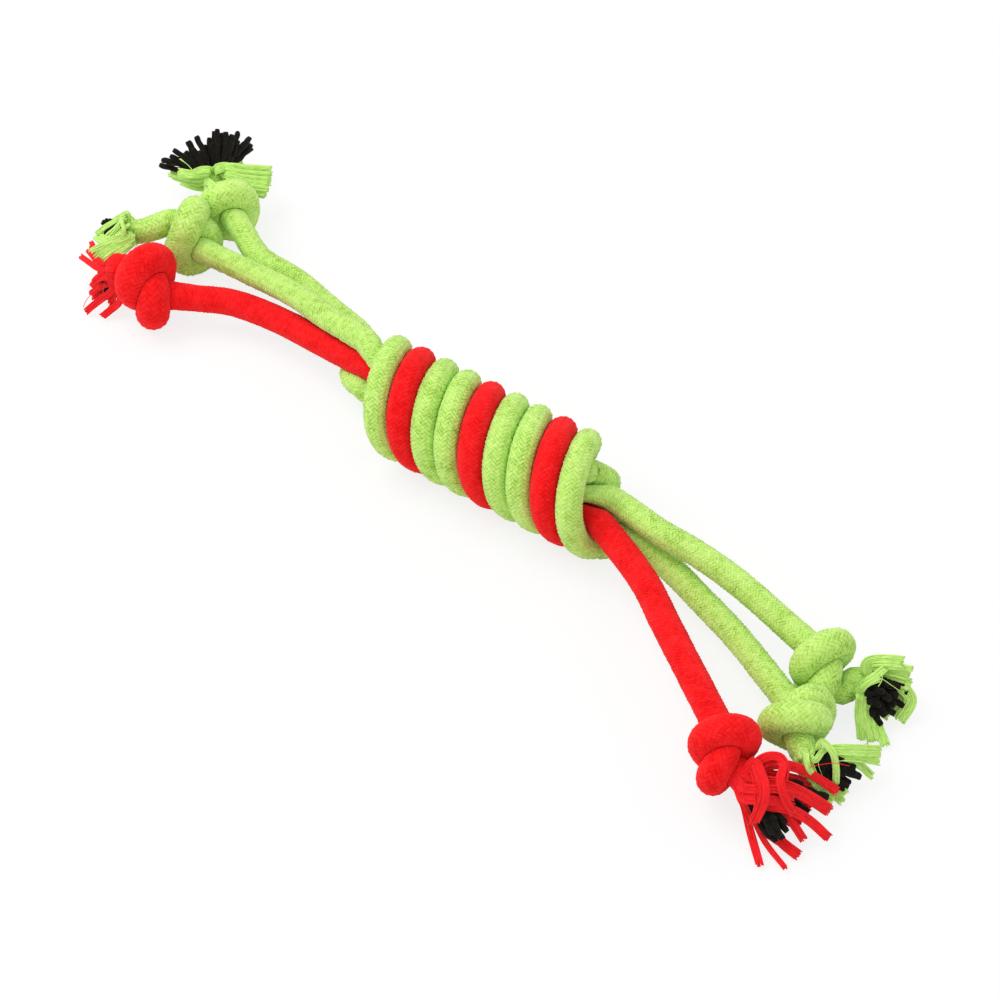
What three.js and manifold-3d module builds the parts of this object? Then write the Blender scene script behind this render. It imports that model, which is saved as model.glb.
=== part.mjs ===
// Rope dog toy: two green ropes and a red one, tied side by side into one long wound knot.
// Each rope end has an overhand knot, and past it the sleeve frays round black core yarns.
// Millimetres, +Z up. +X runs along the winding, and the toy lies on the plane z = 0.
import * as THREE from 'three';
import { mergeVertices } from 'three/addons/utils/BufferGeometryUtils.js';
import Module from 'manifold-3d';

const wasm = await Module();
wasm.setup();

// The ropes
const greenRope = 10;
const redRope = 11;
const coreYarns = 5.6; // across the bundle of black yarns in a sleeve
const restShare = 0.1; // of the red rope's diameter, flat where the winding lies on its rest

// Clearances
const faceGap = 0.3; // between pieces that meet end to end
const besideGap = 0.3; // between ropes that lie side by side
const selfGap = 0.85; // between a knot's turns
const insideGap = 0.6; // between the ropes inside the turns

// The winding
const windingAcross = 46;
const coreLength = 72; // of the straight runs inside the turns
const squeezed = 6.4; // across a rope that is squeezed inside the turns
const mouthReach = 14; // how far a bight's pull carries it out of the winding's mouth
const turnReach = 13; // how far a turn runs on before it dives into the mouth
const exitReachShare = 0.5; // of the bights' reach, for the calmer bends of the ropes that leave
const swellShare = 0.4; // of a rope's way out of the core, before it swells again

// How the ropes press each other aside in the winding's mouths
const restingGap = 1;
const settleRounds = 400;
const settleEase = 0.15;
const stepLength = 4.5; // about, between two points of a winding
const neighbourShare = 1.6; // of the ropes' diameter, along one rope, where its points don't press each other

// The overhand knots, in shares of their rope's diameter
const knotRopeShare = 0.92; // the rope is pressed to this where the knot is tight
const looseRingShare = 1.3; // the loose knot's ring, and how far its rope swings about that ring
const looseSwingShare = 0.65;
const looseLeadShare = 3; // of each straight end
const looseStart = 40; // degrees of the ring that the knot takes up
const looseStop = 320;
const looseStep = 8;
const beadShare = 0.4; // between two points of the rope
const pullShare = 0.1; // of each round's pull at the ends
const alignShare = 0.98; // of an end's distance from the line of pull, that a round leaves
const easeShare = 0.1;
const crowdShare = 0.3;
const pushReachShare = 1.6;
const pullRounds = 900;
const pushPasses = 6;
const knotLeadShare = 1.5; // kept of each straight end
const tightShare = 0.93; // of that size, because soft rope gives way where the knot is tight
const thinSteps = 2; // over which the rope goes from its full size to its pressed one

// The frayed ends
const strandReach = 28; // length of the longest strand
const strandWide = 2.2;
const strandThick = 0.9;
const yarnThick = 1.4;
const sliceLength = 2.5; // of the sleeve or core that the strands or yarns grow from
const rootDepth = 1.2; // how deep a strand or yarn starts inside its slice
const straightShare = 0.3; // of a strand's length, before it has leaned over
const yarnRingShare = 0.68; // of the core's radius, where its outer yarns stand
const floorGap = 0.4;

// How the surfaces take light
const ropeRoughness = 0.9;
const yarnRoughness = 1;

// How finely the forms are divided
const tailSides = 10;
const tailStepShare = 2.5; // of the rope's diameter
const turnSides = 6;
const turnSteps = 24;
const bightSteps = 14;
const exitSteps = 8;
const coreSteps = 5;
const knotSteps = 34;
const sliceSides = 12;
const strandSteps = 3;
const degree = Math.PI / 180;

// The black yarn, and the places and ways of each rope.
// dives and lands are angles round the winding, from its top towards the front.
// A tail's points run outwards from the winding.
const black = 0x221e14;
const ropes = [
  {
    name: 'green_rope_a',
    diameter: greenRope,
    colour: 0xb8e16d,
    place: 0,
    rightDive: 590,
    rightLand: 720,
    leftDive: -495,
    leftLand: -660,
    left: {
      tail: [[-77, 14, 29], [-94, 17, 27], [-112, 22, 24], [-139, 26, 19], [-159, 28, 16]],
      roll: 200,
      hand: 1,
      stub: [[-191, 23, 19], [-198, 21, 15]],
      strandLeanShares: [0.35, 0.3, 0.3, 0.35, 0.3, 0.3, 0.35, 0.45, 0.5, 0.45],
      strandReachShares: [0.6, 0.55, 0.5, 0.5, 0.5, 0.5, 0.6, 0.7, 0.75, 0.7],
      yarnLeanShares: [0.1, 0.2, 0.25, 0.2, 0.15, 0.2, 0.25],
      yarnReachShares: [0.4, 0.45, 0.45, 0.4, 0.35, 0.4, 0.45],
    },
    right: {
      tail: [[62, 1.5, 22], [77, -2, 23.5], [95, -3, 23], [114, -5.5, 21.5], [138.5, -11.5, 19.5]],
      roll: 340,
      hand: -1,
      stub: [[168, -13, 11], [170, -13, 11]],
      strandLeanShares: [0.25, 0.35, 0.5, 0.6, 0.5, 0.2, 0.3, 0.4, 0.45, 0.35],
      strandReachShares: [0.7, 0.6, 0.7, 0.9, 0.8, 0.6, 0.6, 0.65, 0.75, 0.75],
      yarnLeanShares: [0.1, 0.2, 0.25, 0.2, 0.15, 0.2, 0.25],
      yarnReachShares: [0.55, 0.6, 0.6, 0.55, 0.5, 0.55, 0.6],
    },
  },
  {
    name: 'red_rope',
    diameter: redRope,
    colour: 0xf22327,
    place: 1,
    rightDive: 545,
    rightLand: 660,
    leftDive: -500,
    leftLand: -600,
    left: {
      tail: [[-81, 10, 19], [-93, 11, 18], [-109, 13, 16], [-125, 13, 15], [-139, 11, 14.5], [-152, 5, 14.5]],
      roll: 190,
      hand: -1,
      stub: [[-186, -4, 21.5], [-187, -7, 18.5]],
      strandLeanShares: [0.3, 0.45, 0.5, 0.4, 0.3, 0.3, 0.35, 0.4, 0.45, 0.35],
      strandReachShares: [0.5, 0.55, 0.6, 0.55, 0.5, 0.5, 0.55, 0.6, 0.65, 0.55],
      yarnLeanShares: [0.1, 0.15, 0.2, 0.2, 0.15, 0.15, 0.2],
      yarnReachShares: [0.35, 0.35, 0.4, 0.35, 0.35, 0.35, 0.35],
    },
    right: {
      tail: [[64, -12.5, 19], [75, -18, 19], [86, -25, 20], [100, -36, 21], [130, -59, 23.5]],
      roll: 345,
      hand: -1,
      stub: [],
      strandLeanShares: [0.3, 0.35, 0.45, 0.5, 0.4, 0.2, 0.15, 0.1, 0.15, 0.2],
      strandReachShares: [0.9, 0.9, 1, 1, 0.9, 0.8, 0.9, 0.9, 0.95, 0.9],
      yarnLeanShares: [0.1, 0.15, 0.25, 0.2, 0.1, 0.05, 0.05],
      yarnReachShares: [0.55, 0.6, 0.6, 0.55, 0.5, 0.55, 0.6],
    },
  },
  {
    name: 'green_rope_b',
    diameter: greenRope,
    colour: 0xb8e16d,
    place: 2,
    rightDive: 515,
    rightLand: 600,
    leftDive: -480,
    leftLand: -540,
    left: {
      tail: [[-90, 29, 13], [-106, 33, 13], [-124, 37, 14], [-142, 40, 16], [-157.5, 49, 18.2]],
      roll: 330,
      hand: -1,
      stub: [[-187, 63, 12], [-190.5, 67, 16]],
      strandLeanShares: [0.75, 0.85, 0.8, 0.8, 0.6, 0.5, 0.6, 0.8, 0.8, 0.85],
      strandReachShares: [0.55, 0.8, 0.9, 0.8, 0.6, 0.5, 0.6, 0.85, 0.9, 0.75],
      yarnLeanShares: [0.1, 0.5, 0.6, 0.5, 0.45, 0.5, 0.6],
      yarnReachShares: [0.75, 0.8, 0.85, 0.8, 0.7, 0.8, 0.85],
    },
    right: {
      tail: [[74, -4, 11.5], [84, -6, 11.5], [105, -14, 12], [122, -21, 12.5], [146, -33, 13]],
      roll: 225,
      hand: -1,
      stub: [[169.5, -54.5, 15.5], [172.5, -55.5, 13.5]],
      strandLeanShares: [0.2, 0.2, 0.15, 0.1, 0.15, 0.15, 0.3, 0.6, 0.6, 0.3],
      strandReachShares: [0.6, 0.6, 0.6, 0.6, 0.6, 0.6, 0.7, 0.85, 0.8, 0.6],
      yarnLeanShares: [0.1, 0.1, 0.05, 0.05, 0.1, 0.2, 0.1],
      yarnReachShares: [0.6, 0.6, 0.6, 0.55, 0.5, 0.6, 0.65],
    },
  },
];

// What follows from the sizes
const axisHeight = windingAcross / 2 - restShare * redRope;
const acrossAll = 2 * greenRope + redRope + ropes.length * besideGap;
const meanRadius = (windingAcross - greenRope) / 2;
const lean = Math.asin(acrossAll / (2 * Math.PI * meanRadius));
const pitch = acrossAll / Math.cos(lean);
const neighbourStep = ((greenRope + redRope) / 2 + besideGap) / Math.cos(lean);
const coreRing = squeezed + insideGap; // radius of the ring of six runs inside the turns

// A point at an angle round the winding's axis
function around(angle, radius, x) {
  return new THREE.Vector3(x, -radius * Math.sin(angle * degree), axisHeight + radius * Math.cos(angle * degree));
}

// The outer turns of one rope
class Turns extends THREE.Curve {
  constructor(rope, from, to) {
    super();
    this.rope = rope;
    this.from = from;
    this.to = to;
  }

  getPoint(t, target = new THREE.Vector3()) {
    const angle = this.from + (this.to - this.from) * t;
    const x = (pitch * (angle - 180)) / 360 + this.rope.place * neighbourStep;
    return target.copy(around(angle, (windingAcross - this.rope.diameter) / 2, x));
  }
}

// The smooth way from one point and direction to another
function bend(from, fromDirection, to, toDirection, fromReach, toReach) {
  return new THREE.CubicBezierCurve3(
    from,
    from.clone().addScaledVector(fromDirection, fromReach),
    to.clone().addScaledVector(toDirection, -toReach),
    to,
  );
}

// A closed tube through the points, with a radius at each of them
function tube(points, radii, sides) {
  const vertices = [];
  const faces = [];
  const tangents = points.map((p, i) => {
    const before = points[Math.max(i - 1, 0)];
    const after = points[Math.min(i + 1, points.length - 1)];
    return after.clone().sub(before).normalize();
  });
  const side = new THREE.Vector3(0, 0, 1).cross(tangents[0]).normalize();
  points.forEach((point, i) => {
    side.addScaledVector(tangents[i], -side.dot(tangents[i])).normalize();
    const other = tangents[i].clone().cross(side);
    for (let k = 0; k < sides; k += 1) {
      const turn = (2 * Math.PI * k) / sides;
      const vertex = point.clone();
      vertex.addScaledVector(side, radii[i] * Math.cos(turn));
      vertex.addScaledVector(other, radii[i] * Math.sin(turn));
      vertices.push(...vertex.toArray());
    }
    if (i === 0) return;
    for (let k = 0; k < sides; k += 1) {
      const a = (i - 1) * sides + k;
      const b = (i - 1) * sides + ((k + 1) % sides);
      faces.push(a, b, b + sides, a, b + sides, a + sides);
    }
  });
  const last = (points.length - 1) * sides;
  for (let k = 1; k < sides - 1; k += 1) {
    faces.push(0, k + 1, k, last, last + k, last + k + 1);
  }
  const geometry = new THREE.BufferGeometry();
  geometry.setAttribute('position', new THREE.Float32BufferAttribute(vertices, 3));
  geometry.setIndex(faces);
  return geometry;
}

function toSolid(geometry) {
  return new wasm.Manifold(new wasm.Mesh({
    numProp: 3,
    vertProperties: new Float32Array(geometry.getAttribute('position').array),
    triVerts: new Uint32Array(geometry.getIndex().array),
  }));
}

function toGeometry(solid) {
  const { vertProperties, triVerts } = solid.getMesh();
  const geometry = new THREE.BufferGeometry();
  geometry.setAttribute('position', new THREE.Float32BufferAttribute(vertProperties, 3));
  geometry.setIndex([...triVerts]);
  return geometry;
}

// A closed flat strip through the points, with its width along one direction
function ribbon(points, across, wide, thick) {
  const vertices = [];
  const faces = [];
  points.forEach((point, i) => {
    const before = points[Math.max(i - 1, 0)];
    const after = points[Math.min(i + 1, points.length - 1)];
    const face = after.clone().sub(before).cross(across).normalize();
    for (const [side, top] of [[-1, -1], [1, -1], [1, 1], [-1, 1]]) {
      const corner = point.clone().addScaledVector(across, (side * wide) / 2);
      vertices.push(...corner.addScaledVector(face, (top * thick) / 2).toArray());
    }
    if (i === 0) return;
    for (let k = 0; k < 4; k += 1) {
      const a = 4 * (i - 1) + k;
      const b = 4 * (i - 1) + ((k + 1) % 4);
      faces.push(a, b, b + 4, a, b + 4, a + 4);
    }
  });
  const last = 4 * (points.length - 1);
  faces.push(0, 2, 1, 0, 3, 2, last, last + 1, last + 2, last, last + 2, last + 3);
  const geometry = new THREE.BufferGeometry();
  geometry.setAttribute('position', new THREE.Float32BufferAttribute(vertices, 3));
  geometry.setIndex(faces);
  return geometry;
}

// Cuts off what would sink into the surface that the toy lies on
function restFlat(geometry) {
  return toGeometry(toSolid(geometry).trimByPlane([0, 0, 1], 0));
}

const vector = (place) => new THREE.Vector3(...place);

// Where a tail leaves the winding: its first point and its outward direction
function mouthOf(end) {
  const start = vector(end.tail[0]);
  return { start, outward: vector(end.tail[1]).sub(start).normalize() };
}

// A rope's way through the winding, from its left tail to its right one
function windingWay(rope) {
  const half = coreLength / 2;
  const alongX = new THREE.Vector3(1, 0, 0);
  const left = mouthOf(rope.left);
  const right = mouthOf(rope.right);
  const leftStart = left.start.clone().addScaledVector(left.outward, -rope.diameter);
  const rightStop = right.start.clone().addScaledVector(right.outward, -rope.diameter);
  const inLeft = around(rope.rightLand, coreRing, -half);
  const inRight = around(rope.rightLand, coreRing, half);
  const backLeft = around(rope.leftLand, coreRing, -half);
  const backRight = around(rope.leftLand, coreRing, half);
  const turns = new Turns(rope, rope.rightDive, rope.leftDive);
  const turnCount = (rope.rightDive - rope.leftDive) / 360;
  const full = rope.diameter / 2;
  const tight = squeezed / 2;
  const reach = mouthReach * exitReachShare;
  const parts = [
    [new THREE.LineCurve3(left.start.clone().addScaledVector(left.outward, -faceGap), leftStart), 1, full, full],
    [bend(leftStart, left.outward.clone().negate(), inLeft, alongX, reach, reach), exitSteps, full, tight],
    [new THREE.LineCurve3(inLeft, inRight), coreSteps, tight, tight],
    [bend(inRight, alongX, turns.getPoint(0), turns.getTangent(0), mouthReach, turnReach), bightSteps, tight, full],
    [turns, Math.round(turnSteps * turnCount), full, full],
    [bend(turns.getPoint(1), turns.getTangent(1), backLeft, alongX, turnReach, mouthReach), bightSteps, full, tight],
    [new THREE.LineCurve3(backLeft, backRight), coreSteps, tight, tight],
    [bend(backRight, alongX, rightStop, right.outward, reach, reach), exitSteps, tight, full],
    [new THREE.LineCurve3(rightStop, right.start.clone().addScaledVector(right.outward, -faceGap)), 1, full, full],
  ];
  const points = [];
  const radii = [];
  const loose = [];
  for (const [curve, steps, fromRadius, toRadius] of parts) {
    const bends = curve instanceof THREE.CubicBezierCurve3;
    for (let i = points.length ? 1 : 0; i <= steps; i += 1) {
      const share = i / steps;
      points.push(curve.getPoint(share));
      const swelling = THREE.MathUtils.smoothstep(fromRadius < toRadius ? share : 1 - share, swellShare, 1);
      radii.push(THREE.MathUtils.lerp(Math.min(fromRadius, toRadius), Math.max(fromRadius, toRadius), swelling));
      loose.push(bends && i < steps);
    }
  }
  return { points, radii, loose };
}

// How far two points of the windings are from touching, or Infinity for near neighbours of one rope
function gapBetween(a, i, b, j) {
  const needed = a.radii[i] + b.radii[j];
  if (a === b && Math.abs(i - j) * stepLength < neighbourShare * needed) return Infinity;
  return a.points[i].distanceTo(b.points[j]) - needed;
}

// Presses the ropes aside in the winding's two mouths, wherever they would run into each other
function settle(ways) {
  for (let round = 0; round < settleRounds; round += 1) {
    ways.forEach((a, first) => {
      ways.slice(first).forEach((b) => {
        a.points.forEach((point, i) => {
          for (let j = a === b ? i + 1 : 0; j < b.points.length; j += 1) {
            if (!a.loose[i] && !b.loose[j]) continue;
            const short = restingGap - gapBetween(a, i, b, j);
            if (!(short > 0)) continue;
            const push = b.points[j].clone().sub(point).setLength(short / (a.loose[i] + b.loose[j]));
            if (a.loose[i]) point.sub(push);
            if (b.loose[j]) b.points[j].add(push);
          }
        });
      });
    });
    for (const { points, loose } of ways) {
      const middles = points.map((point, i) => (loose[i] ? points[i - 1].clone().lerp(points[i + 1], 1 / 2) : point));
      points.forEach((point, i) => point.lerp(middles[i], settleEase));
    }
  }
}

// The least gap between two stretches of one rope that aren't neighbours along it
function leastGap({ points, radii }) {
  const reached = [0];
  points.slice(1).forEach((point, i) => reached.push(reached[i] + point.distanceTo(points[i])));
  let least = Infinity;
  points.forEach((point, i) => {
    for (let j = i + 1; j < points.length; j += 1) {
      const needed = radii[i] + radii[j];
      if (reached[j] - reached[i] < neighbourShare * needed) continue;
      least = Math.min(least, point.distanceTo(points[j]) - needed);
    }
  });
  return least;
}

// A surface whose equal corners are joined into one
function joined(geometry) {
  geometry.deleteAttribute('normal');
  geometry.deleteAttribute('uv');
  return mergeVertices(geometry);
}

// A free stretch of rope along its points, from the winding to its knot
function tail(rope, end) {
  const route = new THREE.CatmullRomCurve3(end.tail.map(vector), false, 'centripetal');
  const section = [];
  for (let k = 0; k < tailSides; k += 1) {
    const turn = (2 * Math.PI * k) / tailSides;
    section.push(new THREE.Vector2(Math.cos(turn), Math.sin(turn)).multiplyScalar(rope.diameter / 2));
  }
  const steps = Math.ceil(route.getLength() / (tailStepShare * rope.diameter));
  const options = { steps: 2 * steps, extrudePath: route, bevelEnabled: false };
  return joined(new THREE.ExtrudeGeometry(new THREE.Shape(section), options));
}

// An overhand knot pulled tight, in shares of its rope's diameter.
// It starts loose, as a trefoil opened at one of its three lobes. Then its ends are drawn
// apart, its bends ease, and it is pushed apart wherever it would run into itself.
function pullTight() {
  const loose = [[looseRingShare + looseSwingShare, -looseLeadShare, looseSwingShare]];
  loose.push([looseRingShare + looseSwingShare, 0, looseSwingShare]);
  for (let angle = looseStart; angle <= looseStop; angle += looseStep) {
    const radius = looseRingShare + looseSwingShare * Math.cos(3 * angle * degree);
    const turn = 2 * angle * degree;
    loose.push([radius * Math.cos(turn), radius * Math.sin(turn), looseSwingShare * Math.sin(3 * angle * degree)]);
  }
  loose.push([looseRingShare + looseSwingShare, 0, -looseSwingShare]);
  loose.push([looseRingShare + looseSwingShare, looseLeadShare, -looseSwingShare]);
  const path = new THREE.CurvePath();
  for (let i = 1; i < loose.length; i += 1) path.add(new THREE.LineCurve3(vector(loose[i - 1]), vector(loose[i])));
  const count = Math.floor(path.getLength() / beadShare);
  const length = path.getLength() / count;
  const beads = path.getSpacedPoints(count);
  const apart = Math.ceil((pushReachShare * knotRopeShare) / length);
  for (let round = 0; round < pullRounds; round += 1) {
    beads[0].y -= pullShare;
    beads[count].y += pullShare;
    for (const bead of [beads[0], beads[count]]) bead.multiply(new THREE.Vector3(alignShare, 1, alignShare));
    const middles = beads.slice(1, -1).map((bead, i) => beads[i].clone().lerp(beads[i + 2], 1 / 2));
    middles.forEach((middle, i) => beads[i + 1].lerp(middle, easeShare));
    for (let pass = 0; pass < pushPasses; pass += 1) {
      const pushes = beads.map(() => new THREE.Vector3());
      const counts = beads.map(() => 1);
      for (let i = 0; i <= count; i += 1) {
        for (let j = i + apart; j <= count; j += 1) {
          const between = beads[j].clone().sub(beads[i]);
          const distance = between.length();
          if (distance >= knotRopeShare) continue;
          between.multiplyScalar((knotRopeShare - distance) / 2 / distance);
          pushes[i].sub(between);
          pushes[j].add(between);
          counts[i] += crowdShare;
          counts[j] += crowdShare;
        }
      }
      beads.forEach((bead, i) => bead.addScaledVector(pushes[i], 1 / counts[i]));
      for (const first of [0, 1]) {
        for (let i = first; i < count; i += 2) {
          const step = beads[i + 1].clone().sub(beads[i]);
          step.multiplyScalar((step.length() - length) / 2 / step.length());
          beads[i].add(step);
          beads[i + 1].sub(step);
        }
      }
    }
  }
  return beads.filter((bead) => Math.abs(bead.y) < knotLeadShare);
}

const tightKnot = pullTight();

// A knot at the end of a tail, and the stub past it
function knot(rope, end) {
  const route = end.tail.map(vector);
  const entry = route.at(-1);
  const direction = entry.clone().sub(route.at(-2)).normalize();
  const hand = new THREE.Vector3(end.hand, 1, 1);
  const shape = tightKnot.map((bead) => bead.clone().multiply(hand).multiplyScalar(tightShare * rope.diameter));
  const inward = shape[1].clone().sub(shape[0]).normalize();
  const turn = new THREE.Quaternion().setFromAxisAngle(direction, end.roll * degree);
  turn.multiply(new THREE.Quaternion().setFromUnitVectors(inward, direction));
  const start = entry.clone().addScaledVector(direction, rope.diameter / 2);
  const first = shape[0].clone();
  const way = shape.map((point) => point.sub(first).applyQuaternion(turn).add(start));
  const all = [entry.clone().addScaledVector(direction, faceGap), ...way, ...end.stub.map(vector)];
  const curve = new THREE.CatmullRomCurve3(all, false, 'centripetal');
  const points = curve.getSpacedPoints(knotSteps);
  const inKnot = (knotRopeShare * tightShare * rope.diameter - selfGap) / 2;
  const radii = points.map((p, i) => {
    const fromEnd = (Math.min(i, knotSteps - i) - 1) / thinSteps;
    return THREE.MathUtils.lerp(rope.diameter / 2, inKnot, THREE.MathUtils.clamp(fromEnd, 0, 1));
  });
  return { points, radii };
}

// The frame at a rope's cut end: its middle, the way on, up, and across
function endFrame(rope, end) {
  const { points } = knot(rope, end);
  const along = points.at(-1).clone().sub(points.at(-2)).normalize();
  const across = new THREE.Vector3(0, 0, 1).cross(along).normalize().negate();
  const up = along.clone().cross(across).negate();
  return { middle: points.at(-1).clone().addScaledVector(along, faceGap), along, up, across };
}

// A slice of the sleeve or of the core, squarely across the rope
function slice(frame, outer, inner) {
  const profile = [[inner, 0], [outer, 0], [outer, sliceLength], [inner, sliceLength]];
  if (inner > 0) profile.push(profile[0]);
  const lathe = new THREE.LatheGeometry(profile.map(([r, h]) => new THREE.Vector2(r, h)), sliceSides);
  const placed = new THREE.Matrix4().makeBasis(frame.across, frame.along, frame.up).setPosition(frame.middle);
  if (placed.determinant() < 0) placed.multiply(new THREE.Matrix4().makeScale(-1, 1, 1));
  return joined(lathe).applyMatrix4(placed);
}

// One strand or yarn, which leans over as it leaves its slice and stays off the floor
function strand(frame, turn, root, lean, length, wide, thick, lowest) {
  const out = frame.up.clone().multiplyScalar(Math.cos(turn)).addScaledVector(frame.across, Math.sin(turn));
  const from = frame.middle.clone().addScaledVector(frame.along, sliceLength).addScaledVector(out, root);
  const bent = from.clone().addScaledVector(frame.along, straightShare * length);
  const to = from.clone().addScaledVector(frame.along, length * Math.cos(lean));
  to.addScaledVector(out, length * Math.sin(lean));
  const curve = new THREE.QuadraticBezierCurve3(from, bent, to);
  const points = [from.clone().addScaledVector(frame.along, -rootDepth), ...curve.getPoints(strandSteps)];
  for (const point of points) point.z = Math.max(point.z, lowest);
  return ribbon(points, frame.along.clone().cross(out), wide, thick);
}

// The sleeve's frayed strands, on a ring slice of the sleeve
function fray(rope, end) {
  const frame = endFrame(rope, end);
  const inner = (coreYarns / 2 + besideGap) / Math.cos(Math.PI / sliceSides);
  const outer = rope.diameter / 2;
  let solid = toSolid(slice(frame, outer, inner));
  end.strandLeanShares.forEach((leanShare, k) => {
    const turn = (2 * Math.PI * k) / end.strandLeanShares.length;
    const lean = (leanShare * Math.PI) / 2;
    const length = end.strandReachShares[k] * strandReach;
    const lowest = floorGap + strandWide / 2;
    const piece = strand(frame, turn, (inner + outer) / 2, lean, length, strandWide, strandThick, lowest);
    solid = solid.add(toSolid(piece));
  });
  return toGeometry(solid);
}

// The black core yarns, on a slice of the core: one in the middle and the rest round it
function core(end, frame) {
  const outer = coreYarns / 2;
  let solid = toSolid(slice(frame, outer, 0));
  end.yarnLeanShares.forEach((leanShare, k) => {
    const turn = (2 * Math.PI * k) / (end.yarnLeanShares.length - 1);
    const root = k === 0 ? 0 : yarnRingShare * outer;
    const lean = (leanShare * Math.PI) / 2;
    const length = end.yarnReachShares[k] * strandReach;
    const lowest = floorGap + strandWide + besideGap + yarnThick / 2;
    solid = solid.add(toSolid(strand(frame, turn, root, lean, length, yarnThick, yarnThick, lowest)));
  });
  return toGeometry(solid);
}

const toy = new THREE.Group();

function add(name, geometry, colour, roughness) {
  const material = new THREE.MeshStandardMaterial({ color: colour, roughness, metalness: 0 });
  const mesh = new THREE.Mesh(geometry, material);
  mesh.name = name;
  toy.add(mesh);
}

const windings = ropes.map(windingWay);
settle(windings);
ropes.forEach((rope, place) => {
  const winding = windings[place];
  const gaps = [leastGap(winding)];
  add(`${rope.name}_winding`, restFlat(tube(winding.points, winding.radii, turnSides)), rope.colour, ropeRoughness);
  for (const side of ['left', 'right']) {
    const end = rope[side];
    const tied = knot(rope, end);
    gaps.push(leastGap(tied));
    add(`${rope.name}_${side}_tail`, tail(rope, end), rope.colour, ropeRoughness);
    add(`${rope.name}_${side}_knot`, restFlat(tube(tied.points, tied.radii, turnSides)), rope.colour, ropeRoughness);
    add(`${rope.name}_${side}_fray`, fray(rope, end), rope.colour, ropeRoughness);
    add(`${rope.name}_${side}_core`, core(end, endFrame(rope, end)), black, yarnRoughness);
  }
  console.log(`${rope.name}: least gap to itself in the winding and the two knots, mm:`, ...gaps.map((gap) => gap.toFixed(2)));
});

export default toy;
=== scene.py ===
import math
import random

import bpy
import numpy as np
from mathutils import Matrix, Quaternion, Vector


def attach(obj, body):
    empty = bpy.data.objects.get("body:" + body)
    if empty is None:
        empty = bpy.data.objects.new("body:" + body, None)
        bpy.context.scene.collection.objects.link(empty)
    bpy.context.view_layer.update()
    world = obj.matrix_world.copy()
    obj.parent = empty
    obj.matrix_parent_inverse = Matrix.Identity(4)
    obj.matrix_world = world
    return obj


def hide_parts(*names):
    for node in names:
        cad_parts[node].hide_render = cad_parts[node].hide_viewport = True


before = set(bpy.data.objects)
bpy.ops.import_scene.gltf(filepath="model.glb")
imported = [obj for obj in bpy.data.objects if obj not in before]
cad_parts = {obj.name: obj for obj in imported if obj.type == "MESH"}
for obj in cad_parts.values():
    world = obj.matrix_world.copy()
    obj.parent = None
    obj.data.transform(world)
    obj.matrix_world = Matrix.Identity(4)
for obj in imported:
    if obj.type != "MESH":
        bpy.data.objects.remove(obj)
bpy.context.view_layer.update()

# Rope dog toy: two green ropes and a red one, tied side by side into one long wound knot.
# Each end has an overhand knot, and past it the sleeve frays round black core yarns.

photoView = {
    "azimuth": 33.7,
    "elevation": 50.0,
    "distance": 0.93,
    "lens": 85.0,
    "target": (0.00706, -0.00587, 0.0),
}


def placeCamera(view):
    azimuth = math.radians(view["azimuth"])
    elevation = math.radians(view["elevation"])
    level = Vector((-math.sin(azimuth), math.cos(azimuth), 0.0))
    looking = level * math.cos(elevation) - Vector((0.0, 0.0, math.sin(elevation)))
    lens = bpy.data.cameras.new("photoCamera")
    lens.lens = view["lens"]
    lens.clip_start = 0.01
    camera = bpy.data.objects.new("photoCamera", lens)
    camera.location = Vector(view["target"]) - looking * view["distance"]
    camera.rotation_euler = looking.to_track_quat("-Z", "Y").to_euler()
    bpy.context.scene.collection.objects.link(camera)
    bpy.context.scene.camera = camera


placeCamera(photoView)
print("camera placed")

# Lengths are in metres. Each rope comes in at the left mouth, runs through the core, turns three
# times round it back to the left, and leaves through the core at the right.
winding = {
    "across": 0.046,
    "coreLength": 0.072,
    "coreAcross": 0.0064,  # a rope squeezed inside the turns
    "coreGap": 0.0006,
    "mouthReach": 0.014,
    "turnReach": 0.013,
    "exitReach": 0.007,
    "loopReach": 0.0035,
    "besideGap": 0.0003,
    "restShare": 0.1,  # how far the floor flattens the turns, in red ropes
    "swellShare": 0.4,
    "turnSteps": 24,
    "bightSteps": 14,
    "exitSteps": 8,
    "coreSteps": 5,
    "loopSteps": (3, 4),
}
tinyTurn = 0.01  # degrees, between two places that give a turn's direction

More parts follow.
